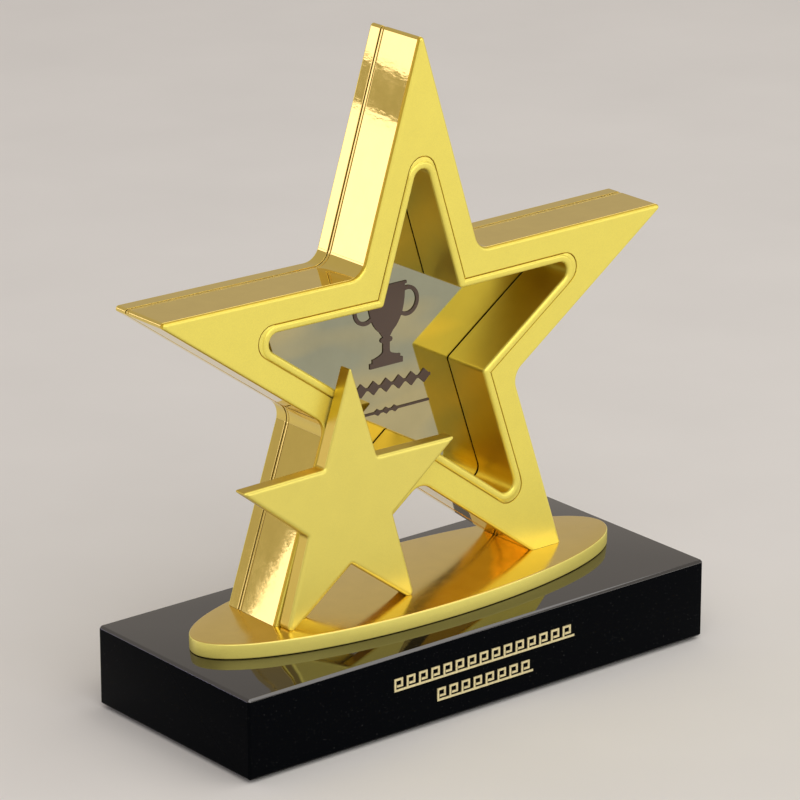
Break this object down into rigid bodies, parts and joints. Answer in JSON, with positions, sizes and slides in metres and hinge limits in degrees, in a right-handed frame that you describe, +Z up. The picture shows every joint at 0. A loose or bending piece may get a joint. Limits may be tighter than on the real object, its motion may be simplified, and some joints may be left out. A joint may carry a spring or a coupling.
{
  "type": "star trophy",
  "caption": "Award trophy: a hollow five-pointed gold star backed by a mirror plate, with a small solid star in front, on an oval plate and a black block base.",
  "frame": {"origin": "middle of the underside of the base pad", "axes": "+X along the length of the base, +Y towards the back of the trophy (the open face of the star looks along -Y), +Z up"},
  "size_m": [0.194, 0.0764, 0.2062],
  "materials": {
    "gold": "gold-plated casting, satin faces and polished sides",
    "plate_gold": "gold-plated, polished",
    "polished_mirror": "polished mirror plate",
    "black_gloss": "high-polish black",
    "felt": "felt",
    "steel": "plain machined",
    "dark_print": "matt dark print layer",
    "gold_inlay": "pale gold leaf"
  },
  "bodies": {
    "root": {"base_pad": "felt", "base_block": "black_gloss", "oval_plate": "plate_gold", "front_star_frame": "gold", "mirror_plate": "polished_mirror", "rear_star_frame": "gold", "small_star": "gold", "star_screw_left": "steel", "star_screw_right": "steel", "star_washer_left": "steel", "star_washer_right": "steel", "rear_screw_top_arm": "steel", "rear_screw_left_arm": "steel", "rear_screw_left_leg": "steel", "rear_screw_right_leg": "steel", "rear_screw_right_arm": "steel", "small_star_pin_upper": "steel", "small_star_pin_lower": "steel", "mirror_cup_emblem": "dark_print", "mirror_ornament_wide": "dark_print", "mirror_ornament_slim": "dark_print", "front_ornament_upper": "gold_inlay", "front_ornament_lower": "gold_inlay"}
  },
  "joints": []
}
